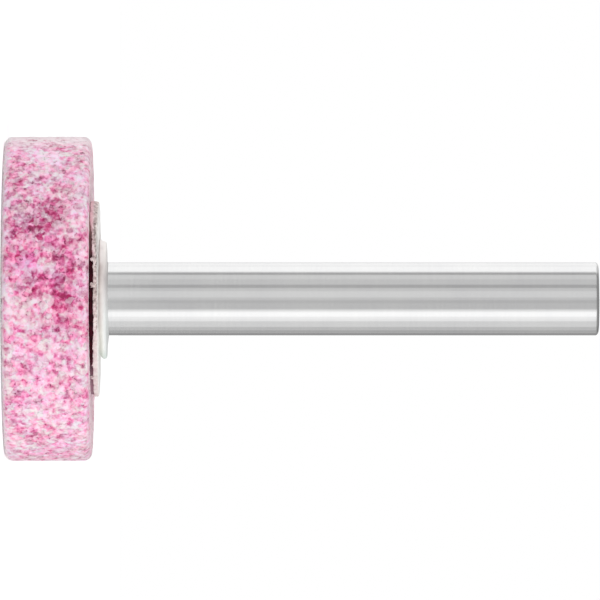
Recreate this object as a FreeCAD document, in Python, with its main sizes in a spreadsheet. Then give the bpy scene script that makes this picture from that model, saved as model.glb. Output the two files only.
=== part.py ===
import FreeCAD, Part
import os
import Sketcher

# Cylindrical mounted point: a vitrified grinding wheel on a round steel shank.
# The point stands on the wheel's front face, with the shank rising along +Z.
# The origin is the centre of that face. All sizes are in millimetres.

# Driving dimensions
SIZES = (
    # The wheel, moulded with rounded rims and a blind bore in its back face
    ("wheel_diameter", 26.6),
    ("wheel_width", 7.15),
    ("wheel_rim_radius", 0.7),
    ("front_web", 1.95),
    ("bore_mouth_chamfer", 0.3),
    # The shank's ground bar, and how far it stands out of the wheel
    ("shank_diameter", 6.0),
    ("shank_projection", 41.5),
    ("shank_end_radius", 0.4),
    # Its seat, turned down from the bar and keyed by a straight knurl and a groove
    ("seat_relief", 0.2),
    ("seat_tip_gap", 0.3),
    ("seat_tip_chamfer", 0.3),
    ("knurl_margin", 0.2),
    ("knurl_depth", 0.25),
    ("knurl_notch_width", 0.5),
    ("knurl_count", 16),
    ("groove_start", 1.9),
    ("groove_width", 0.7),
    ("groove_depth", 0.4),
    # The thin backing washer, which stands a little off the wheel
    ("washer_diameter", 16.0),
    ("washer_thickness", 0.35),
    ("washer_hole_gap", 0.65),
    ("washer_standoff", 0.24),
    # The resin: round the seat, under the washer, and in the bead round the bar
    ("resin_gap", 0.6),
    ("bed_inset", 0.5),
    ("bead_root_width", 1.5),
    ("bead_crest_width", 1.85),
    ("bead_crest_height", 0.44),
    ("bead_crest_band", 0.2),
    ("bead_height", 0.8),
)

# Sketcher's own numbers for the origin and the vertical axis. It numbers an
# edge's points by their place in the list below.
ORIGIN_POINT = (-1, 1)
VERTICAL_AXIS_INDEX = -2
EDGE_POINTS = ("whole edge", "start", "end", "centre")

FULL_TURN = 360
MATCH_TOLERANCE = 1e-6

doc = FreeCAD.newDocument("mounted_point")
sheet = doc.addObject("Spreadsheet::Sheet", "Sizes")
for row, (alias, value) in enumerate(SIZES, start=1):
    sheet.set(f"A{row}", alias)
    sheet.set(f"B{row}", str(value))
    sheet.setAlias(f"B{row}", alias)
doc.recompute()

# Radii and levels that several pieces share
WHEEL_RADIUS = "(Sizes.wheel_diameter / 2)"
SHANK_RADIUS = "(Sizes.shank_diameter / 2)"
SEAT_RADIUS = f"({SHANK_RADIUS} - Sizes.seat_relief)"
BORE_RADIUS = f"({SEAT_RADIUS} + Sizes.resin_gap)"
WASHER_RADIUS = "(Sizes.washer_diameter / 2)"
WASHER_HOLE_RADIUS = f"({SEAT_RADIUS} + Sizes.washer_hole_gap)"
WHEEL_BACK = "Sizes.wheel_width"
BORE_FLOOR = "Sizes.front_web"
SEAT_TIP = f"({BORE_FLOOR} + Sizes.seat_tip_gap)"
WASHER_UNDERSIDE = f"({WHEEL_BACK} + Sizes.washer_standoff)"
WASHER_TOP = f"({WASHER_UNDERSIDE} + Sizes.washer_thickness)"
BEAD_TOP = f"({WASHER_TOP} + Sizes.bead_height)"
SHANK_END = f"({WHEEL_BACK} + Sizes.shank_projection)"


def value_of(expression):
    """The number that an expression gives with the sheet's present sizes."""
    result = sheet.evalExpression(expression)
    return float(getattr(result, "Value", result))


def new_body(name):
    """An empty body with its own label."""
    body = doc.addObject("PartDesign::Body", name)
    body.Label = name
    return body


def origin_feature(body, role):
    """One of the body's own origin planes or axes."""
    return next(f for f in body.Origin.OriginFeatures if f.Role == role)


def new_sketch(body, name, plane, level=None):
    """A sketch on an origin plane, lifted to a level along the plane's normal."""
    sketch = body.newObject("Sketcher::SketchObject", name)
    sketch.AttachmentSupport = (origin_feature(body, plane), [""])
    sketch.MapMode = "FlatFace"
    if level:
        sketch.setExpression(".AttachmentOffset.Base.z", level)
    return sketch


def point_of(index, which):
    """A named point of an edge, as Sketcher's constraints take it."""
    return index, EDGE_POINTS.index(which)


def add_circle(sketch, radius):
    """A circle about the sketch's origin, with its radius from an expression."""
    size = value_of(radius)
    circle = Part.Circle(FreeCAD.Vector(0, 0, 0), FreeCAD.Vector(0, 0, 1), size)
    index = sketch.addGeometry(circle)
    centre = point_of(index, "centre")
    sketch.addConstraint(Sketcher.Constraint("Coincident", *centre, *ORIGIN_POINT))
    number = sketch.addConstraint(Sketcher.Constraint("Radius", index, size))
    sketch.setExpression(f"Constraints[{number}]", radius)


def tie_corner(sketch, kind, corner, expression, value):
    """Ties a corner's distance from the sketch's origin to an expression."""
    tie = Sketcher.Constraint(kind, *ORIGIN_POINT, *corner, value)
    number = sketch.addConstraint(tie)
    sketch.setExpression(f"Constraints[{number}]", expression)


def add_outline(sketch, corners):
    """A closed outline of straight sides. Each corner is two expressions, across
    and along. One with None for the first lies on the sketch's vertical axis."""
    points = []
    for across, along in corners:
        distance = 0 if across is None else value_of(across)
        points.append(FreeCAD.Vector(distance, value_of(along), 0))
    followers = points[1:] + points[:1]
    for start, end in zip(points, followers):
        sketch.addGeometry(Part.LineSegment(start, end))
    for index in range(len(points)):
        end = point_of(index, "end")
        next_start = point_of((index + 1) % len(points), "start")
        sketch.addConstraint(Sketcher.Constraint("Coincident", *end, *next_start))
    for index, (across, along) in enumerate(corners):
        corner = point_of(index, "start")
        if across is None:
            on_axis = Sketcher.Constraint("PointOnObject", *corner, VERTICAL_AXIS_INDEX)
            sketch.addConstraint(on_axis)
        else:
            tie_corner(sketch, "DistanceX", corner, across, points[index].x)
        tie_corner(sketch, "DistanceY", corner, along, points[index].y)


def add_pad(body, name, sketch, length):
    """Grows the body from a sketch, along +Z."""
    pad = body.newObject("PartDesign::Pad", name)
    pad.Profile = sketch
    pad.setExpression("Length", length)
    doc.recompute()
    return pad


def add_revolution(body, name, sketch):
    """Turns a sketch once round its vertical axis."""
    turned = body.newObject("PartDesign::Revolution", name)
    turned.Profile = sketch
    turned.ReferenceAxis = (sketch, ["V_Axis"])
    turned.Angle = FULL_TURN
    doc.recompute()
    return turned


def check_cut(body, name, volume_before):
    """A cut that points away from the solid would leave its volume as it was."""
    assert body.Shape.Volume < volume_before - MATCH_TOLERANCE, f"{name} cuts nothing"


def add_pocket(body, name, sketch, depth, upward):
    """Cuts the body from a sketch, upward or downward."""
    volume_before = body.Shape.Volume
    pocket = body.newObject("PartDesign::Pocket", name)
    pocket.Profile = sketch
    pocket.Reversed = upward
    pocket.setExpression("Length", depth)
    doc.recompute()
    check_cut(body, name, volume_before)
    return pocket


def add_groove(body, name, sketch):
    """Cuts a sketch from the body, all the way round the sketch's vertical axis."""
    volume_before = body.Shape.Volume
    groove = body.newObject("PartDesign::Groove", name)
    groove.Profile = sketch
    groove.ReferenceAxis = (sketch, ["V_Axis"])
    groove.Angle = FULL_TURN
    doc.recompute()
    check_cut(body, name, volume_before)
    return groove


def add_polar_pattern(body, name, feature, count):
    """Repeats a feature evenly round the body's own Z axis."""
    pattern = body.newObject("PartDesign::PolarPattern", name)
    pattern.Originals = [feature]
    pattern.Axis = (origin_feature(body, "Z_Axis"), [""])
    pattern.Angle = FULL_TURN
    pattern.setExpression("Occurrences", count)
    body.Tip = pattern
    doc.recompute()
    return pattern


def round_edges(feature, radius, levels):
    """The names of a feature's round edges of one radius at some levels."""
    size = value_of(radius)
    heights = [value_of(level) for level in levels]
    names = []
    for number, edge in enumerate(feature.Shape.Edges, start=1):
        if not isinstance(edge.Curve, Part.Circle):
            continue
        same_radius = abs(edge.Curve.Radius - size) < MATCH_TOLERANCE
        at_level = any(abs(edge.Curve.Center.z - h) < MATCH_TOLERANCE for h in heights)
        if same_radius and at_level:
            names.append(f"Edge{number}")
    return names


def add_fillet(body, name, base, edges, radius):
    """Rounds the named edges of the feature before it."""
    fillet = body.newObject("PartDesign::Fillet", name)
    fillet.Base = (base, edges)
    fillet.setExpression("Radius", radius)
    doc.recompute()
    return fillet


def add_chamfer(body, name, base, edges, size):
    """Bevels the named edges of the feature before it."""
    chamfer = body.newObject("PartDesign::Chamfer", name)
    chamfer.Base = (base, edges)
    chamfer.setExpression("Size", size)
    doc.recompute()
    return chamfer


def make_wheel():
    """The grinding wheel, a disc with rounded rims and a bevelled blind bore."""
    wheel = new_body("grinding_wheel")
    outline = new_sketch(wheel, "wheel_outline", "XY_Plane")
    add_circle(outline, WHEEL_RADIUS)
    disc = add_pad(wheel, "wheel_disc", outline, WHEEL_BACK)
    rims = round_edges(disc, WHEEL_RADIUS, ["0", WHEEL_BACK])
    add_fillet(wheel, "wheel_rims", disc, rims, "Sizes.wheel_rim_radius")
    bore_outline = new_sketch(wheel, "bore_outline", "XY_Plane", WHEEL_BACK)
    add_circle(bore_outline, BORE_RADIUS)
    bore_depth = f"{WHEEL_BACK} - {BORE_FLOOR}"
    bore = add_pocket(wheel, "bore", bore_outline, bore_depth, upward=False)
    mouth = round_edges(bore, BORE_RADIUS, [WHEEL_BACK])
    add_chamfer(wheel, "bore_mouth", bore, mouth, "Sizes.bore_mouth_chamfer")
    return wheel


def make_shank():
    """The shank. Its seat is turned down from the bar, and the shoulder between
    them sits on the bead's top."""
    shank = new_body("shank")
    bar_outline = new_sketch(shank, "bar_outline", "XY_Plane", BEAD_TOP)
    add_circle(bar_outline, SHANK_RADIUS)
    bar = add_pad(shank, "bar", bar_outline, f"{SHANK_END} - {BEAD_TOP}")
    free_end = round_edges(bar, SHANK_RADIUS, [SHANK_END])
    add_fillet(shank, "free_end", bar, free_end, "Sizes.shank_end_radius")
    seat_outline = new_sketch(shank, "seat_outline", "XY_Plane", SEAT_TIP)
    add_circle(seat_outline, SEAT_RADIUS)
    seat = add_pad(shank, "seat", seat_outline, f"{BEAD_TOP} - {SEAT_TIP}")
    tip = round_edges(seat, SEAT_RADIUS, [SEAT_TIP])
    add_chamfer(shank, "seat_tip", seat, tip, "Sizes.seat_tip_chamfer")
    add_key_groove(shank)
    add_knurl(shank)
    return shank


def add_key_groove(shank):
    """The round groove in the seat. Its outline runs as far outside the seat as
    it reaches inside."""
    floor = f"({SEAT_RADIUS} - Sizes.groove_depth)"
    outside = f"({SEAT_RADIUS} + Sizes.groove_depth)"
    low = f"({SEAT_TIP} + Sizes.groove_start)"
    high = f"({low} + Sizes.groove_width)"
    outline = new_sketch(shank, "groove_outline", "XZ_Plane")
    add_outline(outline, ((floor, low), (outside, low), (outside, high), (floor, high)))
    add_groove(shank, "key_groove", outline)


def add_knurl(shank):
    """Straight V notches round the seat, from its tip to a margin inside the
    wheel. A notch's outline runs as far outside the seat as it reaches inside,
    and is twice the notch's width there."""
    root = f"({SEAT_RADIUS} - Sizes.knurl_depth)"
    outside = f"({SEAT_RADIUS} + Sizes.knurl_depth)"
    right = "Sizes.knurl_notch_width"
    left = f"-{right}"
    outline = new_sketch(shank, "notch_outline", "XY_Plane", SEAT_TIP)
    add_outline(outline, ((None, root), (right, outside), (left, outside)))
    length = f"{WHEEL_BACK} - Sizes.knurl_margin - {SEAT_TIP}"
    notch = add_pocket(shank, "knurl_notch", outline, length, upward=True)
    add_polar_pattern(shank, "knurl", notch, "Sizes.knurl_count")


def make_washer():
    """The backing washer, punched from fibre sheet."""
    washer = new_body("backing_washer")
    outline = new_sketch(washer, "washer_outline", "XY_Plane", WASHER_UNDERSIDE)
    add_circle(outline, WASHER_RADIUS)
    add_circle(outline, WASHER_HOLE_RADIUS)
    add_pad(washer, "washer_sheet", outline, "Sizes.washer_thickness")
    return washer


def make_resin(shank):
    """The resin, which fills the bore round the seat, beds the washer, rises
    through its hole and ends in a bead. The shank leaves its own form in it."""
    mass = new_body("resin_mass")
    mouth_radius = f"{BORE_RADIUS} + Sizes.bore_mouth_chamfer"
    bed_radius = f"{WASHER_RADIUS} - Sizes.bed_inset"
    root_radius = f"{SHANK_RADIUS} + Sizes.bead_root_width"
    crest_radius = f"{SHANK_RADIUS} + Sizes.bead_crest_width"
    band_half = "Sizes.bead_crest_band / 2"
    outline = new_sketch(mass, "resin_outline", "XZ_Plane")
    add_outline(
        outline,
        (
            (None, BORE_FLOOR),
            (BORE_RADIUS, BORE_FLOOR),
            (BORE_RADIUS, f"{WHEEL_BACK} - Sizes.bore_mouth_chamfer"),
            (mouth_radius, WHEEL_BACK),
            (bed_radius, WHEEL_BACK),
            (bed_radius, WASHER_UNDERSIDE),
            (WASHER_HOLE_RADIUS, WASHER_UNDERSIDE),
            (WASHER_HOLE_RADIUS, WASHER_TOP),
            (root_radius, WASHER_TOP),
            (crest_radius, f"{WASHER_TOP} + Sizes.bead_crest_height - {band_half}"),
            (crest_radius, f"{WASHER_TOP} + Sizes.bead_crest_height + {band_half}"),
            (SHANK_RADIUS, BEAD_TOP),
            (None, BEAD_TOP),
        ),
    )
    add_revolution(mass, "resin_turned", outline)
    resin = doc.addObject("Part::Cut", "resin_bond")
    resin.Label = "resin_bond"
    resin.Base = mass
    resin.Tool = shank
    doc.recompute()
    return resin


wheel = make_wheel()
shank = make_shank()
washer = make_washer()
resin = make_resin(shank)
pieces = (wheel, shank, washer, resin)

# Every object and every piece has to be sound before anything is written
for item in doc.Objects:
    faults = {"Invalid", "Error"} & set(item.State)
    assert not faults, f"{item.Label} is {faults}"
for piece in pieces:
    assert not piece.Shape.isNull(), f"{piece.Label} has no shape"
    assert piece.Shape.isValid(), f"{piece.Label} has a shape that isn't valid"

os.makedirs("parts", exist_ok=True)
for piece in pieces:
    piece.Shape.exportStep(f"parts/{piece.Label}.step")
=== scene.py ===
import bmesh
import bpy
import math

from mathutils import Matrix, Vector, noise


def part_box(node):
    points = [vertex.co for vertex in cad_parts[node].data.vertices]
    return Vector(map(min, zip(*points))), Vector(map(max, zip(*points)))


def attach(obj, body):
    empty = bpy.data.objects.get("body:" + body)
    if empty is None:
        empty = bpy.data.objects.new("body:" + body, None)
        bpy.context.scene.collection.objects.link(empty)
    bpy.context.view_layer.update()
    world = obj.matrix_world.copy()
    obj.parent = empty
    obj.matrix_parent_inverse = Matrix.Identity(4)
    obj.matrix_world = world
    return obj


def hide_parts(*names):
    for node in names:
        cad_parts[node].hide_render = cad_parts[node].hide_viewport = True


# Cylindrical mounted point: a vitrified grinding wheel on a round steel shank.
# Everything is in metres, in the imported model's frame: the point stands on the
# wheel's front face at the origin, and the shank rises along +Z.

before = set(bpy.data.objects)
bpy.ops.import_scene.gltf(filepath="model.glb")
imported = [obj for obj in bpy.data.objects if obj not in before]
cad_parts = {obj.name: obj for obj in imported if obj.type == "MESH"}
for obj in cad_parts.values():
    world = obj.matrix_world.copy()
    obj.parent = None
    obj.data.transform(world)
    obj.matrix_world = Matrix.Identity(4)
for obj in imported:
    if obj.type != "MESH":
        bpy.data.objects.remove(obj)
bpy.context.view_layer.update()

MM = 0.001

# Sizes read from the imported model
WHEEL_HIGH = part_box("grinding_wheel")[1]
SHANK_LOW, SHANK_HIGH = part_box("shank")
WASHER_LOW, WASHER_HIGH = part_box("backing_washer")
RESIN_LOW, RESIN_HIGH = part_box("resin_bond")
WHEEL_RADIUS = WHEEL_HIGH[0]
WHEEL_BACK = WHEEL_HIGH[2]
SHANK_RADIUS = SHANK_HIGH[0]
SHANK_END = SHANK_HIGH[2]
WASHER_RADIUS = WASHER_HIGH[0]
WASHER_UNDERSIDE = WASHER_LOW[2]
WASHER_TOP = WASHER_HIGH[2]
BED_RADIUS = RESIN_HIGH[0]
BEAD_TOP = RESIN_HIGH[2]
BORE_FLOOR = RESIN_LOW[2]
SEAT_TIP = SHANK_LOW[2]

# Small sizes of the wheel, the seat and the shank's end, as in the part's source
WHEEL_RIM = 0.7 * MM
SEAT_RADIUS = SHANK_RADIUS - 0.2 * MM
SEAT_CHAMFER = 0.3 * MM
BORE_RADIUS = SEAT_RADIUS + 0.6 * MM
HOLE_RADIUS = BORE_RADIUS + 0.05 * MM
END_ROUNDING = 0.4 * MM
# How long that rounding is along the shank here, as a share of its width
END_FLATNESS = 0.7


# Meshes


def arc(centre, radius, start, end, steps):
    """Points along an arc in the turning plane, as (distance from the axis, height)."""
    angles = (math.radians(start + (end - start) * k / steps) for k in range(steps + 1))
    return [
        (centre[0] + radius * math.cos(a), centre[1] + radius * math.sin(a)) for a in angles
    ]


def resample(outline, spacing):
    """The same outline with points about a spacing apart, its corners kept."""
    points = [outline[0]]
    for start, end in zip(outline, outline[1:]):
        length = math.dist(start, end)
        steps = max(1, round(length / spacing))
        for k in range(1, steps + 1):
            t = k / steps
            points.append((start[0] + (end[0] - start[0]) * t, start[1] + (end[1] - start[1]) * t))
    return points


def stitch(first, count_first, second, count_second):
    """Triangles between two rings of points that differ in number."""
    faces = []
    i = j = 0
    while i < count_first or j < count_second:
        next_first = (i + 1) / count_first
        next_second = (j + 1) / count_second
        here = (first + i % count_first, second + j % count_second)
        if j == count_second or (i < count_first and next_first <= next_second):
            faces.append((here[0], first + (i + 1) % count_first, here[1]))
            i += 1
        else:
            faces.append((here[0], second + (j + 1) % count_second, here[1]))
            j += 1
    return faces


def even_rings(stretches):
    """Rings of near-even spacing. The stretches lead from the axis round to the axis,
    and each is an outline and the spacing of its points. A ring is a radius, a height,
    how many points it has and its turn, as a share of the step between them."""
    rings = []
    for outline, spacing in stretches:
        for radius, height in resample(outline, spacing):
            if rings and math.dist(rings[-1][:2], (radius, height)) < spacing * 0.01:
                continue
            count = 1 if radius < spacing * 0.01 else max(8, round(math.tau * radius / spacing))
            rings.append((radius, height, count, 0.5 * (len(rings) % 2)))
    return rings


def plain_rings(outline, around):
    """One ring for each point of an outline, all with as many points."""
    return [(radius, height, around if radius > 0 else 1, 0.0) for radius, height in outline]


def turned_mesh(name, rings):
    """A closed turned mesh of triangles, from its first ring to its last."""
    vertices, faces, starts = [], [], []
    for radius, height, count, turn in rings:
        starts.append(len(vertices))
        for k in range(count):
            angle = math.tau * (k + turn) / count
            vertices.append((radius * math.cos(angle), radius * math.sin(angle), height))
    for number in range(len(rings) - 1):
        first, second = starts[number], starts[number + 1]
        counts = rings[number][2], rings[number + 1][2]
        if counts[0] == 1:
            ring = [second + k for k in range(counts[1])]
            faces += [(first, ring[k - 1], ring[k]) for k in range(counts[1])]
        elif counts[1] == 1:
            ring = [first + k for k in range(counts[0])]
            faces += [(second, ring[k], ring[k - 1]) for k in range(counts[0])]
        else:
            faces += stitch(first, counts[0], second, counts[1])
    mesh = bpy.data.meshes.new(name)
    mesh.from_pydata(vertices, [], faces)
    return finished(mesh)


def ring_mesh(name, outline, spacing, around):
    """A ring of quads from a closed outline in the turning plane."""
    section = resample(outline, spacing)[:-1]
    rows = len(section)
    vertices, faces = [], []
    for k in range(around):
        angle = math.tau * k / around
        for radius, height in section:
            vertices.append((radius * math.cos(angle), radius * math.sin(angle), height))
    for k in range(around):
        here, after = k * rows, (k + 1) % around * rows
        for row in range(rows):
            up = (row + 1) % rows
            faces.append((here + row, after + row, after + up, here + up))
    mesh = bpy.data.meshes.new(name)
    mesh.from_pydata(vertices, [], faces)
    return finished(mesh)


def finished(mesh):
    """The mesh with its normals turned outward and smooth shading."""
    work = bmesh.new()
    work.from_mesh(mesh)
    bmesh.ops.recalc_face_normals(work, faces=work.faces)
    work.to_mesh(mesh)
    work.free()
    mesh.shade_smooth()
    mesh.update()
    return mesh


def shift_points(mesh, rule):
    """Moves each point of a mesh by what a rule gives for its place."""
    for vertex in mesh.vertices:
        vertex.co += rule(vertex.co.copy())
    mesh.update()


def turbulence(place, size, octaves=3):
    """Smooth noise about a size across, in metres, from about -1 to 1."""
    return noise.fractal(place / size, 1.0, 2.0, octaves, noise_basis="PERLIN_ORIGINAL")


def eased(value, low, high):
    """How far a value has gone from low to high, from 0 to 1, with soft ends."""
    share = min(1.0, max(0.0, (value - low) / (high - low)))
    return share * share * (3 - 2 * share)


def add_piece(name, mesh, node, slot, *materials):
    """A visible piece that stands for a CAD node."""
    piece = bpy.data.objects.new(name, mesh)
    bpy.context.scene.collection.objects.link(piece)
    mesh.materials.clear()
    for material in materials:
        mesh.materials.append(material)
    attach(piece, "root")
    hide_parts(node)
    return piece


# Node trees


def feed(tree, node, inputs):
    """Fills a node's inputs, each with a value or with another node's output."""
    for key, value in inputs.items():
        if isinstance(value, bpy.types.NodeSocket):
            tree.links.new(value, node.inputs[key])
        else:
            node.inputs[key].default_value = value


def put(tree, kind, inputs=None, **settings):
    """Adds a node with its settings and inputs."""
    node = tree.nodes.new(kind)
    for name, value in settings.items():
        setattr(node, name, value)
    feed(tree, node, inputs or {})
    return node


def maths(tree, operation, *values):
    """One step of arithmetic on outputs and numbers."""
    inputs = dict(enumerate(values))
    return put(tree, "ShaderNodeMath", inputs, operation=operation).outputs[0]


def product(tree, *values):
    """The product of outputs and numbers."""
    total = values[0]
    for value in values[1:]:
        total = maths(tree, "MULTIPLY", total, value)
    return total


def weighed(tree, *pairs):
    """The sum of outputs, each times its weight."""
    total = None
    for value, weight in pairs:
        part = maths(tree, "MULTIPLY", value, weight)
        total = part if total is None else maths(tree, "ADD", total, part)
    return total


def vector_maths(tree, operation, first, second):
    """One step on two vectors, whose result is a number for a distance or a dot
    product and a vector otherwise."""
    node = put(tree, "ShaderNodeVectorMath", {0: first, 1: second}, operation=operation)
    return node.outputs["Value" if operation in ("DISTANCE", "DOT_PRODUCT") else "Vector"]


def lengthened(tree, vector, factor):
    """A vector times a number."""
    inputs = {0: vector, "Scale": factor}
    return put(tree, "ShaderNodeVectorMath", inputs, operation="SCALE").outputs["Vector"]


def remap(tree, value, low, high, to_low=0.0, to_high=1.0, smooth=True):
    """A value's range from low to high, eased to another range and clamped."""
    inputs = {
        "Value": value,
        "From Min": low,
        "From Max": high,
        "To Min": to_low,
        "To Max": to_high,
    }
    kind = "SMOOTHSTEP" if smooth else "LINEAR"
    return put(tree, "ShaderNodeMapRange", inputs, interpolation_type=kind).outputs["Result"]


def warped(tree, vector, size, amount):
    """A coordinate pushed about by noise, both in metres."""
    wave = noise_at(tree, vector, size, 1, "Color")
    centred = vector_maths(tree, "SUBTRACT", wave, (0.5, 0.5, 0.5))
    return vector_maths(tree, "ADD", vector, lengthened(tree, centred, amount))


def noise_at(tree, vector, size, detail=2.0, output=0, roughness=0.5):
    """Noise whose blobs are about a size across, in metres."""
    inputs = {"Vector": vector, "Scale": 1 / size, "Detail": detail, "Roughness": roughness}
    node = put(tree, "ShaderNodeTexNoise", inputs, noise_dimensions="3D")
    return node.outputs[output]


def cells_at(tree, vector, size, feature, smoothness=None):
    """A Voronoi node whose cells are about a size across, in metres."""
    inputs = {"Vector": vector, "Scale": 1 / size}
    if smoothness is not None:
        inputs["Smoothness"] = smoothness
    return put(tree, "ShaderNodeTexVoronoi", inputs, voronoi_dimensions="3D", feature=feature)


def channels(tree, value):
    """The three parts of a colour or a place, as three outputs."""
    return put(tree, "ShaderNodeSeparateXYZ", {0: value}).outputs


def srgb(red, green, blue):
    """A colour given in 0 to 255, as the linear values that nodes take."""
    linear = []
    for level in (red, green, blue):
        c = level / 255
        linear.append(c / 12.92 if c <= 0.04045 else ((c + 0.055) / 1.055) ** 2.4)
    return (*linear, 1.0)


def ramp(tree, value, stops):
    """A colour ramp. A stop is a position and a colour."""
    node = put(tree, "ShaderNodeValToRGB", {0: value})
    elements = node.color_ramp.elements
    while len(elements) < len(stops):
        elements.new(0.5)
    for element, (position, colour) in zip(elements, stops):
        element.position = position
        element.color = colour
    return node.outputs["Color"]


def blend(tree, factor, first, second, mode="MIX"):
    """Mixes two colours."""
    node = put(tree, "ShaderNodeMix", data_type="RGBA", blend_type=mode)
    values = {"Factor_Float": factor, "A_Color": first, "B_Color": second}
    places = {socket.identifier: place for place, socket in enumerate(node.inputs)}
    feed(tree, node, {places[name]: value for name, value in values.items()})
    return next(s for s in node.outputs if s.identifier == "Result_Color")


def emptied_tree(owner):
    """The node tree of a material or a world, without the nodes it came with."""
    owner.use_nodes = True
    owner.node_tree.nodes.clear()
    return owner.node_tree


def new_material(name, **values):
    """A material with a Principled shader, its tree and its object coordinate."""
    material = bpy.data.materials.new(name)
    tree = emptied_tree(material)
    shader = put(tree, "ShaderNodeBsdfPrincipled", values)
    put(tree, "ShaderNodeOutputMaterial", {"Surface": shader.outputs[0]})
    place = put(tree, "ShaderNodeTexCoord").outputs["Object"]
    return material, tree, shader, place


def set_bump(tree, shader, height, distance, strength):
    """Fine relief in a shader, from a height of 0 to 1 and its distance in metres."""
    inputs = {"Height": height, "Distance": distance, "Strength": strength}
    bump = put(tree, "ShaderNodeBump", inputs)
    feed(tree, shader, {"Normal": bump.outputs[0]})


# The abrasive: grains of pink, white and ruby corundum in a vitrified bond

# How large the patterns of the abrasive are, from its chips to its broad bands
CHIP_SIZE = 0.32 * MM
PIT_SPACING = 0.3 * MM
MOTTLE_SIZE = 0.46 * MM
GRAIN_SIZE = 0.58 * MM
CLUSTER_SIZE = 2.2 * MM
BAND_SIZE = 7 * MM
# How deep the pits, the joints between the grains and the dish of the back face are
PIT_DEPTH = 0.1 * MM
GRAIN_RELIEF = 0.05 * MM
DISH_DEPTH = 0.14 * MM

# Patches of the side with more ruby grain, or with less where the share is below 0:
# their places along X and Z in millimetres, their reaches and their shares
RUBY_PATCHES = (
    (-4.6, 3.6, 9.5, 0.12),
    (-7.4, 4.7, 3.2, 0.15),
    (-5.4, 2.0, 2.4, 0.1),
    (-1.2, 3.4, 2.2, 0.17),
    (-0.1, 5.4, 1.2, 0.34),
    (-3.4, 1.5, 1.3, 0.16),
    (-6.6, 6.4, 1.6, -0.16),
    (-0.6, 0.6, 1.4, -0.16),
    (-2.9, 3.4, 2.2, -0.16),
    (0.9, 2.3, 2.0, -0.1),
    (4.9, 5.2, 1.4, 0.12),
    (-11.4, 3.6, 3.4, -0.22),
    (7.3, 3.6, 2.6, -0.09),
    (2.6, 3.6, 4.4, 0.08),
    (8.0, 3.4, 3.4, -0.05),
    (12.0, 3.6, 2.6, -0.13),
    (5.1, 0.6, 0.7, 0.26),
    (5.9, 1.8, 0.6, 0.3),
)

# Patches where the pink turns violet, given in the same way
VIOLET_PATCHES = (
    (-3.2, 2.0, 1.7, 1.0),
    (-1.9, 4.6, 1.2, 0.5),
    (11.0, 2.2, 1.6, 0.5),
)
VIOLET_TINT = (0.98, 0.78, 0.98, 1.0)

# What is taken off the sum of the patterns, so that the level runs from about 0 to 1
LEVEL_OFFSET = 0.677
# The grain's colour by its level, from ruby to white, and how far a hot pink and
# a cool mauve lie either side of it
GRAIN_TONES = (
    (0.02, (162, 22, 86)),
    (0.17, (197, 70, 127)),
    (0.31, (214, 120, 160)),
    (0.43, (231, 154, 187)),
    (0.55, (242, 184, 208)),
    (0.69, (250, 208, 224)),
    (0.86, (254, 230, 239)),
)
HOT_SHIFT = (15, -8, 4)
COOL_SHIFT = (-16, 4, -4)
ROSE_TINT = (1.0, 1.0, 0.95, 1.0)
LILAC_TINT = (0.98, 0.96, 1.03, 1.0)
# Painted shade in the pits: deep ruby in rich grain, grey in pale grain
PIT_SHADE_COLOUR = srgb(140, 26, 84)
PALE_PIT_SHADE = srgb(168, 148, 154)
WHITE_GRAIN = srgb(248, 238, 244)
# Painted shade: a mauve tint that darkens the back face
BACK_FACE_SHADE = srgb(244, 218, 228)
# Painted light: a pale pink for the front rim, where the floor shades it, and a little for the
# back rim
RIM_LIGHT_COLOUR = srgb(255, 236, 243)
# Painted light: a near white for the grain at the -X edge
SIDE_EDGE_LIGHT = srgb(252, 240, 244)
SHADE_TINT = (0.87, 0.93, 0.91, 1.0)
# The dust on the grain, which whitens it at a grazing angle
DUST_SHEEN = {
    "Sheen Weight": 1.0,
    "Sheen Roughness": 0.3,
    "Sheen Tint": srgb(255, 246, 246),
}
# How far light gets through the grain, where the material lets it in
LIGHT_REACH = {
    "Subsurface Radius": (1.0, 0.8, 0.9),
    "Subsurface Scale": 1.2 * MM,
}


def grain_field(tree, place):
    """Outputs of the grain pattern, the same in a shader and in geometry nodes: the
    random numbers of each grain and of each chip, how far a point is in a pit, how
    high it is on its grain's facet and how far it is in a crease between grains."""
    bent = warped(tree, place, 0.4 * MM, 0.6 * MM)
    cells = cells_at(tree, bent, GRAIN_SIZE, "SMOOTH_F1", 0.4)
    grains = channels(tree, cells.outputs["Color"])
    chips = channels(tree, cells_at(tree, bent, CHIP_SIZE, "SMOOTH_F1", 0.3).outputs["Color"])
    pit = remap(tree, noise_at(tree, bent, PIT_SPACING, 1.0), 0.62, 0.72)
    facet = facet_height(tree, bent, cells)
    walls = cells_at(tree, bent, GRAIN_SIZE, "DISTANCE_TO_EDGE").outputs["Distance"]
    worn = remap(tree, noise_at(tree, place, 0.5 * MM, 1.0), 0.5, 0.62)
    crease = product(tree, remap(tree, walls, 0.0, 0.16, 1.0, 0.0), worn)
    return grains, chips, pit, facet, crease


def facet_height(tree, place, cells):
    """How high a point is on its grain's own tilted facet, in grain sizes."""
    offset = vector_maths(tree, "SUBTRACT", place, cells.outputs["Position"])
    tilt = vector_maths(tree, "SUBTRACT", cells.outputs["Color"], (0.5, 0.5, 0.5))
    height = vector_maths(tree, "DOT_PRODUCT", offset, tilt)
    return maths(tree, "DIVIDE", height, GRAIN_SIZE)


def shifted_tones(shift):
    """The grain's colours at their levels, each moved by a shift in 0 to 255."""
    stops = []
    for level, tone in GRAIN_TONES:
        moved = (min(255, max(0, c + d)) for c, d in zip(tone, shift))
        stops.append((level, srgb(*moved)))
    return stops


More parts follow.
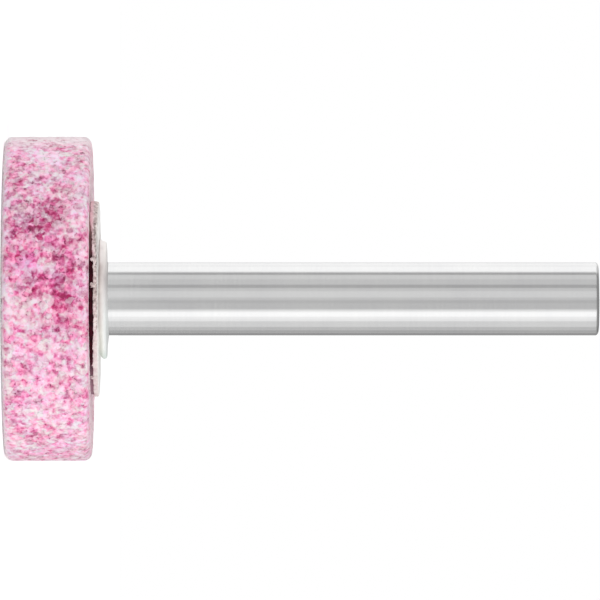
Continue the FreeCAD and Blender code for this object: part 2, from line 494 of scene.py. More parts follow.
def side_patches(tree, place, patches):
    """How deep a point is in each patch of the side, with the patch's share."""
    pairs = []
    for along_x, along_z, reach, share in patches:
        centre = Vector((along_x * MM, 0, along_z * MM))
        centre.y = -math.sqrt(WHEEL_RADIUS**2 - centre.x**2)
        distance = vector_maths(tree, "DISTANCE", place, centre)
        pairs.append((remap(tree, distance, 0.0, reach * MM, 1.0, 0.0), share))
    return pairs


def grain_level(tree, place, grains, chips, facet, crease):
    """How pale the abrasive is at a point, from about 0 for ruby to 1 for white."""
    mottle = noise_at(tree, place, MOTTLE_SIZE, 2.5, roughness=0.55)
    clusters = noise_at(tree, place, CLUSTER_SIZE, 1.0)
    bands = noise_at(tree, place, BAND_SIZE, 1.0)
    ruby = weighed(tree, *side_patches(tree, place, RUBY_PATCHES))
    mixed = weighed(
        tree,
        (grains[0], 0.26),
        (chips[0], 0.2),
        (mottle, 1.3),
        (clusters, 0.55),
        (bands, 0.15),
        # Painted light and shade: each grain is paler on one side of its tilted facet and darker
        # on the other.
        (facet, 0.25),
        (crease, -0.11),
        (ruby, -1.0),
    )
    height = channels(tree, place)[2]
    near_back = remap(tree, height, 4.8 * MM, 6.4 * MM, 0.0, 0.05)
    # Painted light: the grain is made paler towards the front face, where the floor shades it.
    front_rim_light = remap(tree, height, 1.5 * MM, 0.1 * MM, 0.0, 0.12)
    paler = maths(tree, "ADD", near_back, front_rim_light)
    return maths(tree, "ADD", maths(tree, "SUBTRACT", mixed, LEVEL_OFFSET), paler)


def grain_colour(tree, place, level, grains, chips):
    """The grain's colour by its level, hotter or cooler and rosier or more lilac from
    place to place, with a scatter of white grains."""
    warmth = noise_at(tree, place, 0.5 * MM, 1.0)
    heat = remap(tree, weighed(tree, (grains[1], 0.4), (warmth, 0.6)), 0.3, 0.7)
    cool = ramp(tree, level, shifted_tones(COOL_SHIFT))
    hot = ramp(tree, level, shifted_tones(HOT_SHIFT))
    colour = blend(tree, heat, cool, hot)
    drift = weighed(tree, (noise_at(tree, place, 1.6 * MM, 1.0), 0.75), (chips[2], 0.25))
    tint = ramp(tree, drift, ((0.38, ROSE_TINT), (0.62, LILAC_TINT)))
    colour = blend(tree, 1.0, colour, tint, "MULTIPLY")
    white = product(tree, remap(tree, grains[2], 0.8, 0.9), 0.32)
    return blend(tree, white, colour, WHITE_GRAIN)


def pitted_colour(tree, level, pit, rich, colour):
    """The colour with painted shade in its pits: deep ruby in rich grain, and grey in pale grain.
    """
    deep = product(tree, rich, 0.85, pit)
    colour = blend(tree, deep, colour, PIT_SHADE_COLOUR)
    poor = remap(tree, level, 0.45, 0.6)
    return blend(tree, product(tree, poor, 0.4, pit), colour, PALE_PIT_SHADE)


def shaded_lit_tinted_colour(tree, place, level, rich, colour):
    """The colour with painted shade on the back face, painted light on the front rim, a
    slightly paler back rim, painted light at the -X edge, a shaded stretch on the -X side and the
    violet patches."""
    side, _, height = channels(tree, place)
    # Painted shade: the back face is darkened with a mauve tint.
    back_shade = remap(tree, height, WHEEL_BACK - 0.3 * MM, WHEEL_BACK - 0.02 * MM)
    back_shaded = blend(tree, 1.0, colour, BACK_FACE_SHADE, "MULTIPLY")
    colour = blend(tree, back_shade, colour, back_shaded)
    # Painted light: the front rim is painted paler where the floor shades it; the back rim is made
    # a little paler too.
    front_rim = remap(tree, height, 0.4 * MM, 0.04 * MM, 0.0, 0.8)
    back_rim = remap(tree, height, WHEEL_BACK - 0.8 * MM, WHEEL_BACK - 0.2 * MM, 0.0, 0.05)
    rim_light = maths(tree, "MAXIMUM", front_rim, back_rim)
    colour = blend(tree, rim_light, colour, RIM_LIGHT_COLOUR)
    shade = product(
        tree,
        remap(tree, side, -4.5 * MM, -7 * MM),
        remap(tree, side, -12.8 * MM, -8.5 * MM, 0.35, 1.0),
        maths(tree, "ADD", 0.3, rich),
    )
    colour = blend(tree, shade, colour, SHADE_TINT, "MULTIPLY")
    # Painted light: the grain at the -X edge is whitened, as grazing light whitens it there.
    pale = product(
        tree,
        remap(tree, side, -12 * MM, -13.1 * MM, 0.0, 0.85),
        remap(tree, level, 0.2, 0.5, 0.3, 1.0),
    )
    colour = blend(tree, pale, colour, SIDE_EDGE_LIGHT)
    for patch, share in side_patches(tree, place, VIOLET_PATCHES):
        colour = blend(tree, product(tree, patch, share), colour, VIOLET_TINT, "MULTIPLY")
    return colour


def make_abrasive():
    """The wheel's material. Its front rim is rubbed smoother than the rest, and lets
    light through."""
    material, tree, shader, place = new_material("abrasive_grain", **DUST_SHEEN, **LIGHT_REACH)
    grains, chips, pit, facet, crease = grain_field(tree, place)
    level = grain_level(tree, place, grains, chips, facet, crease)
    rich = remap(tree, level, 0.62, 0.36)
    colour = grain_colour(tree, place, level, grains, chips)
    colour = pitted_colour(tree, level, pit, rich, colour)
    colour = shaded_lit_tinted_colour(tree, place, level, rich, colour)
    height = channels(tree, place)[2]
    rubbed = remap(tree, height, 0.35 * MM, 0.05 * MM)
    dull = remap(tree, chips[1], 0.2, 0.95, 0.8, 0.5)
    surface = {
        "Base Color": colour,
        "Roughness": maths(tree, "SUBTRACT", dull, product(tree, rubbed, 0.35)),
        "Specular IOR Level": maths(tree, "ADD", 0.5, product(tree, rubbed, 0.5)),
        "Subsurface Weight": remap(tree, height, 0.9 * MM, 0.3 * MM),
    }
    feed(tree, shader, surface)
    relief = weighed(
        tree,
        (grains[2], 0.4),
        (chips[2], 0.4),
        (noise_at(tree, place, 0.16 * MM, 1.0), 0.5),
        (pit, -0.5),
        (facet, 1.3),
        (crease, -0.4),
    )
    set_bump(tree, shader, relief, 0.05 * MM, 0.9)
    return material


def roughen_wheel(piece):
    """Sinks the surface between the grains and into the pits, never outward."""
    tree = bpy.data.node_groups.new("grain_relief", "GeometryNodeTree")
    tree.interface.new_socket("Geometry", in_out="INPUT", socket_type="NodeSocketGeometry")
    tree.interface.new_socket("Geometry", in_out="OUTPUT", socket_type="NodeSocketGeometry")
    start = put(tree, "NodeGroupInput")
    end = put(tree, "NodeGroupOutput")
    place = put(tree, "GeometryNodeInputPosition").outputs[0]
    grains, chips, pit = grain_field(tree, place)[:3]
    relief = weighed(tree, (grains[2], 0.6), (chips[2], 0.4))
    depth = weighed(tree, (relief, GRAIN_RELIEF), (pit, PIT_DEPTH))
    normal = put(tree, "GeometryNodeInputNormal").outputs[0]
    push = lengthened(tree, normal, product(tree, depth, -1.0))
    inputs = {"Geometry": start.outputs[0], "Offset": push}
    moved = put(tree, "GeometryNodeSetPosition", inputs)
    feed(tree, end, {0: moved.outputs[0]})
    modifier = piece.modifiers.new("grain_relief", "NODES")
    modifier.node_group = tree


def dish_back(place):
    """Sinks the back face a little inside its rim, as a moulded face shrinks, and less
    on its +X side."""
    if place.z < WHEEL_BACK - 0.01 * MM:
        return Vector((0, 0, 0))
    radius = math.hypot(place.x, place.y)
    inside = (WHEEL_RADIUS - WHEEL_RIM - radius) / (1.6 * MM)
    shallow = 1 - 0.6 * eased(place.x, 0.5 * MM, 6 * MM)
    return Vector((0, 0, -DISH_DEPTH * shallow * eased(inside, 0, 1)))


def make_wheel():
    """The grinding wheel, fine enough on its outside for the grain to be real relief."""
    front = [(0, 0), (WHEEL_RADIUS - WHEEL_RIM, 0)]
    low_rim = arc((WHEEL_RADIUS - WHEEL_RIM, WHEEL_RIM), WHEEL_RIM, -90, 0, 8)
    high_rim = arc((WHEEL_RADIUS - WHEEL_RIM, WHEEL_BACK - WHEEL_RIM), WHEEL_RIM, 0, 90, 8)
    side = [*low_rim, *high_rim]
    shown_back = [high_rim[-1], (WASHER_RADIUS - 0.6 * MM, WHEEL_BACK)]
    hidden = [
        shown_back[-1],
        (BORE_RADIUS, WHEEL_BACK),
        (BORE_RADIUS, BORE_FLOOR),
        (0, BORE_FLOOR),
    ]
    rings = even_rings(
        (
            (front, 0.2 * MM),
            (side, 0.115 * MM),
            (shown_back, 0.13 * MM),
            (hidden, 0.5 * MM),
        )
    )
    mesh = turned_mesh("grinding_wheel_grain", rings)
    shift_points(mesh, dish_back)
    piece = add_piece("wheel_grain", mesh, "grinding_wheel", "abrasive", make_abrasive())
    roughen_wheel(piece)


# The shank: a centreless ground steel bar

DARKER_STEEL = (0.62, 0.62, 0.625, 1.0)
LIGHTER_STEEL = (0.67, 0.67, 0.667, 1.0)


def make_steel():
    """The shank's material: bright steel with fine lines round it from grinding."""
    material, tree, shader, place = new_material("ground_steel", Metallic=1.0)
    squeezed = vector_maths(tree, "MULTIPLY", place, (1, 1, 14))
    lines = noise_at(tree, squeezed, 1.6 * MM, 3.0)
    smears = noise_at(tree, place, 5 * MM, 2.0)
    tone = weighed(tree, (lines, 0.35), (smears, 0.65))
    surface = {
        "Base Color": ramp(tree, tone, ((0.3, DARKER_STEEL), (0.7, LIGHTER_STEEL))),
        "Roughness": remap(tree, tone, 0.3, 0.7, 0.09, 0.13),
    }
    feed(tree, shader, surface)
    set_bump(tree, shader, lines, 0.0001 * MM, 0.5)
    return material


def make_shank():
    """The shank, turned with its seat inside the wheel and its rounded free end."""
    foot = BEAD_TOP - 0.35 * MM
    centre = (SHANK_RADIUS - END_ROUNDING, SHANK_END - END_ROUNDING)
    end = [
        (radius, SHANK_END - (SHANK_END - height) * END_FLATNESS)
        for radius, height in arc(centre, END_ROUNDING, 0, 90, 12)
    ]
    # Narrow bands beside each bend, which keep the smooth shading of the rest flat
    band = 0.15 * MM
    outline = [
        (0, SEAT_TIP),
        (SEAT_RADIUS - SEAT_CHAMFER, SEAT_TIP),
        (SEAT_RADIUS, SEAT_TIP + SEAT_CHAMFER),
        (SEAT_RADIUS, foot),
        (SHANK_RADIUS, foot + band),
        (SHANK_RADIUS, foot + 2 * band),
        (SHANK_RADIUS, end[0][1] - band),
        *end,
        (end[-1][0] - band, SHANK_END),
        (0, SHANK_END),
    ]
    mesh = turned_mesh("shank_turned", plain_rings(outline, 256))
    add_piece("shank_bar", mesh, "shank", "steel", make_steel())


# The washer of fibre sheet

# How far the washer's underside sags towards the wheel where its sag is 1
SAG_DEPTH = 0.2 * MM
# Where the washer's upper edge is worn down, in degrees round the axis, and how deep
WEAR_ANGLE = -132
WEAR_SPREAD = 46
WEAR_DEPTH = 0.14 * MM
# Where its crumbs hang, in degrees round the axis, and their radius in millimetres,
# with how much it varies
CRUMB_ANGLES = (-114, -98, -47, -36, 12, 38, 74, 103, 131, 158, 199)
CRUMB_RADIUS = 0.15
CRUMB_VARIETY = 0.05
CRUMB_INSET = 0.12 * MM
CRUMB_DROP = 0.06 * MM
# The sheet's colours from its darkest specks to its palest fibre, and those of its
# dirt and painted shade, its stain, its clean side and the painted light on its upper face
FIBRE_TONES = (
    (0.34, srgb(150, 139, 134)),
    (0.42, srgb(204, 193, 187)),
    (0.49, srgb(234, 224, 218)),
    (0.60, srgb(250, 244, 239)),
)
FIBRE_DIRT_AND_SHADE = srgb(138, 126, 121)
FIBRE_STAIN = srgb(236, 196, 202)
CLEAN_FIBRE = srgb(237, 230, 225)
FACE_LIGHT_COLOUR = srgb(252, 248, 245)


def make_fibre():
    """The washer's material: cream sheet with grey specks, dirty patches and painted shade by
    the bead. It is cleaner on the +X side, has painted light on its upper face, and is pink with
    resin low on the -X side."""
    material, tree, shader, place = new_material(
        "washer_fibre",
        Roughness=0.85,
        **{"Specular IOR Level": 0.25, "Sheen Weight": 0.6, "Sheen Roughness": 0.3},
    )
    fibres = noise_at(tree, place, 0.26 * MM, 3.0, roughness=0.6)
    patches = noise_at(tree, place, 1.1 * MM, 2.0)
    side, _, height = channels(tree, place)
    worn = remap(tree, side, 3 * MM, -5 * MM)
    level = weighed(tree, (fibres, 0.6), (patches, 0.4), (worn, -0.04))
    colour = ramp(tree, level, FIBRE_TONES)
    speck = remap(tree, noise_at(tree, place, 0.24 * MM, 2.0), 0.4, 0.58, 0.25, 1.0)
    # Dirt on the washer's edge, and painted shade in the corner where the washer meets the bead.
    dirt = product(tree, speck, washer_dirt_and_shade(tree, place))
    colour = blend(tree, dirt, colour, FIBRE_DIRT_AND_SHADE)
    stuck = remap(tree, side, -4.6 * MM, -6.4 * MM)
    low = remap(tree, height, WASHER_UNDERSIDE + 0.1 * MM, WASHER_UNDERSIDE - 0.25 * MM)
    colour = blend(tree, product(tree, stuck, low), colour, FIBRE_STAIN)
    clean = remap(tree, side, 2.2 * MM, 4.6 * MM, 0.0, 0.75)
    colour = blend(tree, clean, colour, CLEAN_FIBRE)
    # Painted light: the upper face is painted near white, brighter than its light makes it.
    face = remap(tree, height, WASHER_TOP - 0.07 * MM, WASHER_TOP - 0.01 * MM)
    face_light = maths(
        tree,
        "MAXIMUM",
        remap(tree, side, 2 * MM, 4 * MM, 0.4, 0.8),
        remap(tree, side, -3.6 * MM, -5.2 * MM, 0.0, 0.85),
    )
    colour = blend(tree, product(tree, face, face_light), colour, FACE_LIGHT_COLOUR)
    feed(tree, shader, {"Base Color": colour})
    set_bump(tree, shader, weighed(tree, (fibres, 0.7), (speck, -0.2)), 0.12 * MM, 0.9)
    return material


def washer_dirt_and_shade(tree, place):
    """How dirty and how shaded the washer is: a ragged band that climbs from its lower edge
    on the -X side to its upper face by the bead, where it paints the shade in the corner, and
    fades out on the +X side."""
    side, _, height = channels(tree, place)
    ragged = maths(tree, "SUBTRACT", noise_at(tree, place, 0.34 * MM, 1.0), 0.5)
    over = maths(tree, "SUBTRACT", height, WASHER_UNDERSIDE)
    over = maths(tree, "ADD", over, product(tree, ragged, 0.4 * MM))
    low = remap(tree, side, -5.8 * MM, -3.4 * MM, -0.06 * MM, 0.1 * MM)
    low = maths(tree, "ADD", low, remap(tree, side, -3.2 * MM, -1.4 * MM, 0.0, 0.12 * MM))
    high = remap(tree, side, -5.4 * MM, -3.3 * MM, -0.06 * MM, 0.3 * MM)
    rise = remap(tree, maths(tree, "SUBTRACT", over, low), 0.0, 0.1 * MM)
    fall = remap(tree, maths(tree, "SUBTRACT", over, high), 0.14 * MM, 0.3 * MM, 1.0, 0.0)
    reach = remap(tree, side, -7.4 * MM, -6 * MM, 0.2, 1.0)
    middle = remap(tree, side, -1 * MM, -2.8 * MM, 0.6, 1.0)
    clean = remap(tree, side, 3.2 * MM, 1.8 * MM, 0.15, 1.0)
    return product(tree, rise, fall, reach, middle, clean)


def make_washer():
    """The backing washer, with the torn edge of punched fibre sheet and the crumbs
    that hang from it in the gap over the wheel."""
    rounding = 0.12 * MM
    rounded = (WASHER_RADIUS - rounding, WASHER_TOP - rounding)
    outline = [
        (HOLE_RADIUS, WASHER_UNDERSIDE),
        (WASHER_RADIUS, WASHER_UNDERSIDE),
        *arc(rounded, rounding, 0, 90, 4),
        (HOLE_RADIUS, WASHER_TOP),
        (HOLE_RADIUS, WASHER_UNDERSIDE),
    ]
    mesh = ring_mesh("washer_sheet", outline, 0.08 * MM, 540)
    shift_points(mesh, washer_shift)
    material = make_fibre()
    add_piece("washer_sheet", mesh, "backing_washer", "washer_fibre", material)
    crumbs = crumb_mesh("washer_crumbs")
    add_piece("washer_crumbs", crumbs, "backing_washer", "washer_fibre", material)


def crumb_mesh(name):
    """Small lumps of torn fibre under the washer's edge."""
    work = bmesh.new()
    for number, angle in enumerate(CRUMB_ANGLES):
        turn = math.radians(angle)
        size = (CRUMB_RADIUS + CRUMB_VARIETY * math.sin(number * 2.4)) * MM
        centre = Vector((math.cos(turn), math.sin(turn), 0)) * (WASHER_RADIUS - CRUMB_INSET)
        centre.z = WASHER_UNDERSIDE - CRUMB_DROP
        lump = bmesh.ops.create_icosphere(work, subdivisions=3, radius=size)
        for vertex in lump["verts"]:
            place = vertex.co + Vector((number * 7 * MM, 0, 0))
            vertex.co *= 1 + 0.6 * turbulence(place, 0.14 * MM)
            vertex.co.z *= 1.15
            vertex.co += centre
    mesh = bpy.data.meshes.new(name)
    work.to_mesh(mesh)
    work.free()
    return finished(mesh)


def washer_shift(place):
    """The washer's torn edge, uneven sheet, sagging underside and worn upper side."""
    flat = Vector((place.x, place.y, 0))
    radius = flat.length
    outward = flat / radius
    edge = eased(radius, WASHER_RADIUS - 0.5 * MM, WASHER_RADIUS)
    torn = turbulence(place, 0.34 * MM) * 0.11 * MM - 0.06 * MM
    sheet = turbulence(place + Vector((0, 0, 9 * MM)), 1.1 * MM) * 0.03 * MM
    low = eased(place.z, WASHER_TOP, WASHER_UNDERSIDE)
    sag = eased(-place.x, 1.5 * MM, 7.2 * MM) + 0.35 * eased(place.x, 1.5 * MM, 6 * MM)
    sag += 0.75 * eased(-place.x, 5.2 * MM, 6.6 * MM)
    frayed = turbulence(place + Vector((5 * MM, 0, 0)), 0.3 * MM) * 0.05 * MM
    drop = low * edge * (frayed - SAG_DEPTH * sag)
    wear = (1 - low) * worn_depth(place, radius)
    return outward * torn * edge + Vector((0, 0, sheet + drop - wear))


def worn_depth(place, radius):
    """How deep the washer's upper side is worn down at a place."""
    turn = math.degrees(math.atan2(place.y, place.x)) - WEAR_ANGLE
    turn = abs((turn + 180) % 360 - 180)
    near = 1 - eased(turn, 0, WEAR_SPREAD)
    return WEAR_DEPTH * near * eased(radius, WASHER_RADIUS - 1.5 * MM, WASHER_RADIUS)


# The resin

# How far the bead's crest and its root stand out from the shank, and its lip's rounding
BEAD_CREST = 1.85 * MM
BEAD_ROOT = 1.66 * MM
LIP_RADIUS = 0.3 * MM
# The place on the bead's near side where the resin is greyest
BEAD_SHADE = (-2.3 * MM, -4.2 * MM, 8.0 * MM)
# How much wider the bed is here than in the solids
BED_REACH = 0.3 * MM
# The bead's colours: its milky body from shaded to bright, and its thin edge over
# the steel from the -X side to the +X side, with the shank's bands of reflected light painted in
MILKY_TONES = (
    (0.15, srgb(212, 202, 200)),
    (0.4, srgb(236, 228, 226)),
    (0.55, srgb(242, 236, 234)),
    (0.7, srgb(249, 245, 243)),
)
STEEL_REFLECTION_TONES = (
    (0.0, srgb(248, 244, 240)),
    (0.2, srgb(222, 216, 213)),
    (0.38, srgb(198, 192, 191)),
    (0.6, srgb(224, 221, 220)),
    (0.85, srgb(236, 239, 237)),
)
CLEAR_RESIN = srgb(240, 243, 237)
GREEN_TINGE = srgb(214, 226, 219)
# Painted shade for the bead's foot
BEAD_FOOT_SHADE = srgb(192, 178, 174)
# The bed's colours: near black tones that paint the shade in the gap under the washer, a paler
# colour for its -X side and a dusty one
BED_SHADE_TONES = (
    (0.3, srgb(34, 6, 12)),
    (0.7, srgb(70, 10, 28)),
)
BED_PALER_COLOUR = srgb(214, 180, 172)
BED_DUST = srgb(172, 140, 152)


def make_bead_resin():
    """The pale bead: milky, with painted shade at its foot, the steel and painted reflections
    of its bands showing where it thins out, and a green tinge on the +X side."""
    material, tree, shader, place = new_material(
        "resin_pale", Roughness=0.4, **{"Specular IOR Level": 0.3}
    )
    cloud = noise_at(tree, place, 1.2 * MM, 2.0)
    side, _, height = channels(tree, place)
    from_shade = vector_maths(tree, "DISTANCE", place, BEAD_SHADE)
    shade = remap(tree, from_shade, 0.3 * MM, 1.8 * MM, 0.25, 0.0)
    milky = ramp(tree, maths(tree, "SUBTRACT", cloud, shade), MILKY_TONES)
    clear = remap(tree, side, 1 * MM, 3.6 * MM, 0.0, 0.85)
    milky = blend(tree, clear, milky, CLEAR_RESIN)
    # Partly the steel's grey under thin resin, partly painted reflection of the shank's light and
    # dark bands along X.
    across = remap(tree, side, -4 * MM, 2.4 * MM, smooth=False)
    steel_reflection = ramp(tree, across, STEEL_REFLECTION_TONES)
    thin = remap(tree, height, WASHER_TOP + 0.22 * MM, WASHER_TOP + 0.55 * MM)
    colour = blend(tree, thin, milky, steel_reflection)
    tip = remap(tree, side, 3.9 * MM, 4.8 * MM, 0.0, 0.7)
    colour = blend(tree, tip, colour, GREEN_TINGE)
    # Painted shade in the corner at the bead's foot, against the washer.
    foot = remap(tree, height, WASHER_TOP + 0.2 * MM, WASHER_TOP + 0.04 * MM)
    foot = product(tree, foot, remap(tree, side, 3.4 * MM, -3 * MM, 0.0, 0.5))
    colour = blend(tree, foot, colour, BEAD_FOOT_SHADE)
    feed(tree, shader, {"Base Color": colour})
    set_bump(tree, shader, cloud, 0.05 * MM, 0.6)
    return material


def make_bed_resin():
    """The bed under the washer, near black as painted shade in the gap, paler on the -X
    side and dusty on the +X side."""
    material, tree, shader, place = new_material(
        "resin_bed_shade", Roughness=0.6, **{"Specular IOR Level": 0.12}
    )
    cloud = noise_at(tree, place, 0.6 * MM, 2.0)
    # Painted shade: the bed is coloured near black to stand for the shade in the gap.
    dark = ramp(tree, cloud, BED_SHADE_TONES)
    side = channels(tree, place)[0]
    paler_part = remap(tree, side, -5.0 * MM, -6.8 * MM, 0.0, 0.84)
    paler_part = maths(tree, "ADD", paler_part, remap(tree, side, -2.8 * MM, -4.5 * MM, 0.0, 0.16))
    colour = blend(tree, paler_part, dark, BED_PALER_COLOUR)
    dusty = remap(tree, side, 4.6 * MM, 7.6 * MM, 0.0, 0.8)
    colour = blend(tree, dusty, colour, BED_DUST)
    feed(tree, shader, {"Base Color": colour})
    set_bump(tree, shader, cloud, 0.08 * MM, 0.8)
    return material


def make_resin():
    """The resin: the sleeve in the bore, the bed under the washer and the bead."""
    crest = SHANK_RADIUS + BEAD_CREST
    bed = BED_RADIUS + BED_REACH
    lip = arc((crest - LIP_RADIUS, WASHER_TOP + LIP_RADIUS), LIP_RADIUS, -60, 65, 8)
    foot = BORE_FLOOR + 0.3 * MM
    outline = [
        (SEAT_RADIUS, foot),
        (BORE_RADIUS, foot),
        (BORE_RADIUS, WHEEL_BACK - DISH_DEPTH),
        (bed, WHEEL_BACK - DISH_DEPTH - 0.05 * MM),
        (bed, WASHER_UNDERSIDE + 0.05 * MM),
        (HOLE_RADIUS, WASHER_UNDERSIDE),
        (HOLE_RADIUS, WASHER_TOP),
        (SHANK_RADIUS + BEAD_ROOT, WASHER_TOP - 0.05 * MM),
        *lip,
        (SHANK_RADIUS + 0.6 * MM, BEAD_TOP - 0.1 * MM),
        (SHANK_RADIUS - 0.02 * MM, BEAD_TOP),
        (SEAT_RADIUS, BEAD_TOP - 0.3 * MM),
        (SEAT_RADIUS, foot),
    ]
    mesh = ring_mesh("resin_bond_moulded", outline, 0.11 * MM, 400)
    materials = make_bead_resin(), make_bed_resin()
    add_piece("resin_bead", mesh, "resin_bond", "resin", *materials)
    for face in mesh.polygons:
        if face.center.z < WASHER_UNDERSIDE + 0.06 * MM:
            face.material_index = 1
    shift_points(mesh, resin_shift)


def resin_shift(place):
    """The bead's lumps, fuller and higher on its +X side, where its foot is drawn in,
    and with a foot that stands out on its -X side. The bed's edge waves."""
    flat = Vector((place.x, place.y, 0))
    radius = flat.length
    outward = flat / radius
    if place.z > WASHER_TOP:
        share = eased(radius, SHANK_RADIUS, SHANK_RADIUS + 0.6 * MM)
        wave = turbulence(flat, 2.6 * MM, 2) * 0.06 * MM
        fuller = 0.1 * MM * outward.x
        inner = 1 - eased(radius, SHANK_RADIUS + 0.2 * MM, SHANK_RADIUS + 1.6 * MM)
        rise = (0.02 * place.x - 0.06 * MM) * inner
        foot = 1 - eased(place.z, WASHER_TOP, WASHER_TOP + LIP_RADIUS)
        upright = 0.28 * MM * foot * eased(-outward.x, 0.3, 0.9)
        upright -= 0.26 * MM * foot * eased(outward.x, 0.3, 0.9)
        lift = max(0.03, 0.07 * outward.x) * MM
        lift *= eased(radius, SHANK_RADIUS + 1 * MM, SHANK_RADIUS + 1.7 * MM)
        lift *= 1 - foot
        return outward * (wave + fuller + upright) * share + Vector((0, 0, rise + lift))
    if radius > BED_RADIUS - 1 * MM:
        return outward * turbulence(place, 0.8 * MM) * 0.12 * MM
    return Vector((0, 0, 0))


# The studio

CAMERA_DISTANCE = 0.8
# How large the part is in the picture, how wide the picture is and where the
# wheel's front face lies in it, in pixels from the left
PIXELS_PER_MM = 12.2
IMAGE_SIDE = 600
HEAD_FACE_PIXEL = 5.0
# How far the shank's axis lies above the picture's middle
AXIS_OFFSET = 0.1 * MM
SENSOR_WIDTH = 36

# The world's light on the part, then the floor's glow, its colour and its half width
# in metres
WORLD_LEVEL = 0.6
FLOOR_GLOW = 0.36
FLOOR_COLOUR = (0.94, 0.94, 0.94, 1.0)
FLOOR_HALF = 0.5
# The soft lamps: their places and widths in metres, and their levels
LAMPS = {
    "key": ((0.7, -0.8, 0.5), 0.6, 0.28),
    "side": ((-0.95, -0.25, 0.4), 0.7, 0.335),
    "fill": ((0.95, -0.25, 0.4), 0.7, 0.185),
}

TENT_RADIUS = 0.2
# How wide a tent card is at most, in degrees
CARD_WIDTH = 5
# The tent's panels, which only the gloss sees: where each ends, in degrees round
# the shank from the camera's direction towards +X, and how bright it is
TENT_START = -180
TENT_PANELS = (
    (-150, 1.0),
    (-120, 1.3),
    (-94, 1.4),
    (-89.5, 0.85),
    (-81, 0.55),
    (-64, 0.9),
    (-45, 0.8),
    (-34, 0.58),
    (-24, 0.82),
    (-4, 0.95),
    (4, 0.8),
    (14, 0.68),
    (33, 0.74),
    (37, 1.0),
    (42, 1.25),
    (58, 1.5),
    (66, 1.3),
    (75, 1.22),
    (100, 0.96),
    (118, 0.74),
    (140, 0.58),
    (180, 0.38),
)
# The height that each tier of the tent reaches, and its brightness beside the lowest
TENT_TIERS = ((0.071, 1.0), (0.133, 0.9), (0.221, 0.62))
CEILING_LEVEL = 0.36


def add_camera():
    """The photo's view: level with the shank's middle, turned so that +Z runs right."""
    data = bpy.data.cameras.new("camera")
    data.sensor_width = SENSOR_WIDTH
    data.lens = PIXELS_PER_MM / MM * CAMERA_DISTANCE / IMAGE_SIDE * SENSOR_WIDTH
    camera = bpy.data.objects.new("camera", data)
    height = (IMAGE_SIDE / 2 - HEAD_FACE_PIXEL) / PIXELS_PER_MM * MM
    axes = Matrix(((0, -1, 0), (0, 0, -1), (1, 0, 0))).to_4x4()
    place = Matrix.Translation((AXIS_OFFSET, -CAMERA_DISTANCE, height))
    camera.matrix_world = place @ axes
    bpy.context.scene.collection.objects.link(camera)
    bpy.context.scene.camera = camera


def seen_directly(tree):
    """1 for rays from the camera and for those of gloss and glass, 0 for other light."""
    path = put(tree, "ShaderNodeLightPath")
    kinds = ("Is Camera Ray", "Is Glossy Ray", "Is Transmission Ray")
    total = path.outputs[kinds[0]]
    for kind in kinds[1:]:
        total = maths(tree, "MAXIMUM", total, path.outputs[kind])
    return total


def light_world():
    """A white world that lights the part evenly from all round."""
    world = bpy.data.worlds.new("studio")
    bpy.context.scene.world = world
    tree = emptied_tree(world)
    seen = seen_directly(tree)
    strength = remap(tree, seen, 0.0, 1.0, WORLD_LEVEL, 1.0, smooth=False)
    inputs = {"Color": (1, 1, 1, 1), "Strength": strength}
    background = put(tree, "ShaderNodeBackground", inputs)
    put(tree, "ShaderNodeOutputWorld", {"Surface": background.outputs[0]})


def add_floor():
    """The white floor. Its glow is only seen, and doesn't light the part."""
    half = FLOOR_HALF
    mesh = bpy.data.meshes.new("floor")
    corners = [(-half, -half, 0), (half, -half, 0), (half, half, 0), (-half, half, 0)]
    mesh.from_pydata(corners, [], [(0, 1, 2, 3)])
    floor = bpy.data.objects.new("floor", mesh)
    bpy.context.scene.collection.objects.link(floor)
    material = bpy.data.materials.new("floor_white")
    tree = emptied_tree(material)
    lit = put(tree, "ShaderNodeBsdfDiffuse", {"Color": FLOOR_COLOUR})
    strength = product(tree, seen_directly(tree), FLOOR_GLOW)
    glow = put(tree, "ShaderNodeEmission", {"Strength": strength})
    both = put(tree, "ShaderNodeAddShader", {0: lit.outputs[0], 1: glow.outputs[0]})
    put(tree, "ShaderNodeOutputMaterial", {"Surface": both.outputs[0]})
    mesh.materials.append(material)


def glow_material(name, level):
    """A material that only gives off white light."""
    material = bpy.data.materials.new(name)
    tree = emptied_tree(material)
    glow = put(tree, "ShaderNodeEmission", {"Color": (1, 1, 1, 1), "Strength": level})
    put(tree, "ShaderNodeOutputMaterial", {"Surface": glow.outputs[0]})
    return material


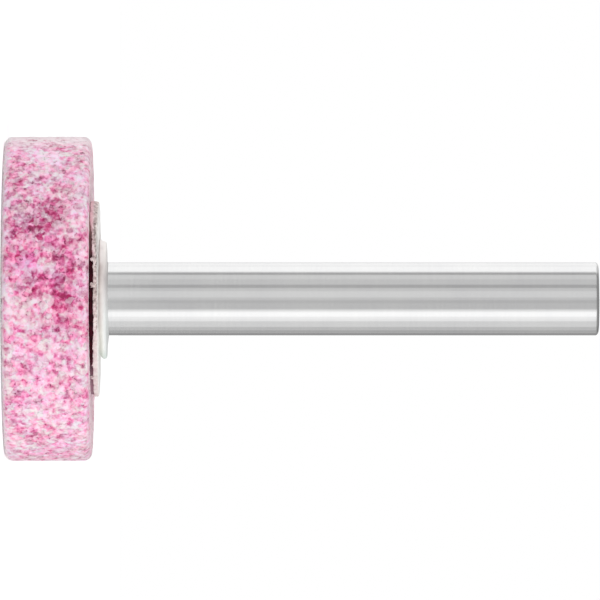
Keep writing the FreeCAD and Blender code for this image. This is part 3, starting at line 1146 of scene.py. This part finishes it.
def add_card(name, corners, level):
    """A studio card that only gloss sees, so that it neither lights nor shades."""
    mesh = bpy.data.meshes.new(name)
    mesh.from_pydata(corners, [], [tuple(range(len(corners)))])
    mesh.materials.append(glow_material(name, level))
    card = bpy.data.objects.new(name, mesh)
    bpy.context.scene.collection.objects.link(card)
    card.visible_camera = False
    card.visible_diffuse = False
    card.visible_shadow = False
    card.visible_transmission = False
    card.visible_volume_scatter = False


def tent_point(degrees, height):
    """A point of the tent by its angle from the camera's direction towards +X."""
    angle = math.radians(degrees)
    return (TENT_RADIUS * math.sin(angle), -TENT_RADIUS * math.cos(angle), height)


def add_tent():
    """Upright cards all round the part, and a grey one over it."""
    start = TENT_START
    for number, (end, level) in enumerate(TENT_PANELS):
        steps = max(1, round((end - start) / CARD_WIDTH))
        edges = [start + (end - start) * k / steps for k in range(steps + 1)]
        for part, (left, right) in enumerate(zip(edges, edges[1:])):
            bottom = 0
            for tier, (top, share) in enumerate(TENT_TIERS):
                places = ((left, bottom), (right, bottom), (right, top), (left, top))
                corners = [tent_point(*place) for place in places]
                add_card(f"tent_{number}_{part}_{tier}", corners, level * share)
                bottom = top
        start = end
    ring = [tent_point(angle, TENT_TIERS[-1][0]) for angle in range(0, 360, 10)]
    add_card("tent_ceiling", ring, CEILING_LEVEL)


def add_lamp(name, place, side, level):
    """A square soft lamp aimed at the wheel, which the gloss doesn't see. Its level is
    what a white surface that faces it gets, where 1 shows as white."""
    target = Vector((0, 0, WHEEL_BACK))
    away = Vector(place) - target
    data = bpy.data.lights.new(name, "AREA")
    data.shape = "SQUARE"
    data.size = side
    data.energy = level * (math.pi * away.length) ** 2
    lamp = bpy.data.objects.new(name, data)
    lamp.location = place
    lamp.rotation_euler = (-away).to_track_quat("-Z", "Y").to_euler()
    lamp.visible_glossy = False
    bpy.context.scene.collection.objects.link(lamp)


def add_studio():
    """The camera, the light and everything that stands round the part."""
    add_camera()
    light_world()
    add_floor()
    add_tent()
    for name, (place, side, level) in LAMPS.items():
        add_lamp(name, place, side, level)
    bpy.context.scene.view_settings.view_transform = "Standard"


make_wheel()
make_shank()
make_washer()
make_resin()
add_studio()
